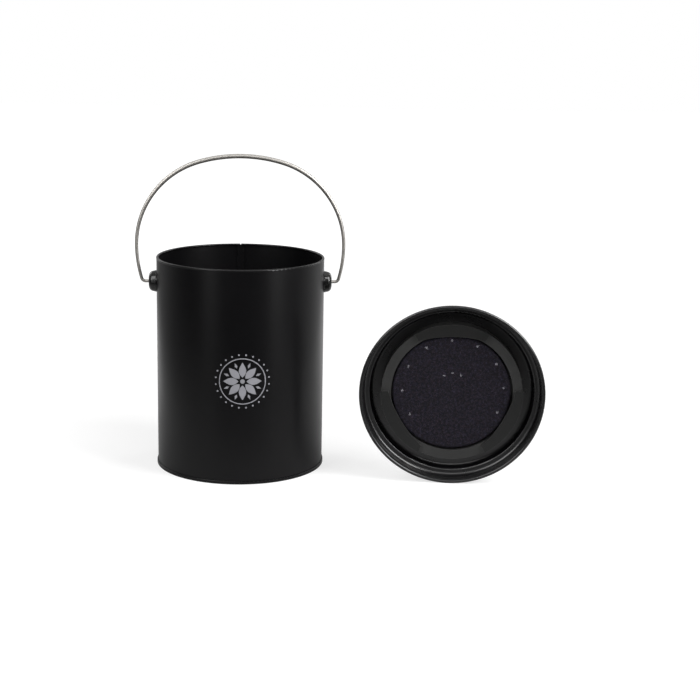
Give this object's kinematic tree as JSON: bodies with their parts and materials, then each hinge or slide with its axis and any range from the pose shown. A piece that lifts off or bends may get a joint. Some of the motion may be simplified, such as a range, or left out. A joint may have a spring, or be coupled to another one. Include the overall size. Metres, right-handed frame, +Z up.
{
  "type": "compost pail with lift-off lid",
  "caption": "Black coated-steel kitchen compost pail with a swinging wire bail and a vented lift-off lid that holds a round charcoal filter.",
  "frame": {"origin": "centre of the pail's base, on the floor plane and on the pail's axis", "axes": "+Z up along the pail's axis, -Y the printed front, +X towards the lid that stands beside the pail and along the bail's pins"},
  "size_m": [0.4052, 0.1895, 0.3183],
  "materials": {
    "satin_black_coat": "satin",
    "gloss_black_ear": "gloss",
    "nickel_wire": "satin",
    "gloss_black_knob": "gloss",
    "brass_insert": "satin",
    "zinc_hardware": "satin",
    "grey_moulding": "matte",
    "charcoal_foam": "matte"
  },
  "bodies": {
    "pail": {"pail_wall": "satin_black_coat", "pail_base": "satin_black_coat", "ear_left": "gloss_black_ear", "ear_right": "gloss_black_ear"},
    "bail": {"bail": "nickel_wire"},
    "lid": {"lid_shell": "satin_black_coat", "knob": "gloss_black_knob", "knob_insert": "brass_insert", "knob_washer": "zinc_hardware", "knob_screw": "zinc_hardware", "filter_holder": "grey_moulding", "charcoal_filter": "charcoal_foam"}
  },
  "joints": [
    {"name": "bail_swing", "type": "hinge", "parent": "pail", "child": "bail", "pos_m": [0, 0, 0.189], "axis": [1, 0, 0], "range_deg": [-135, 135]},
    {"name": "lid_lift", "type": "slide", "parent": "pail", "child": "lid", "axis": [0, 0, 1], "range_m": [0, 0.25]}
  ]
}
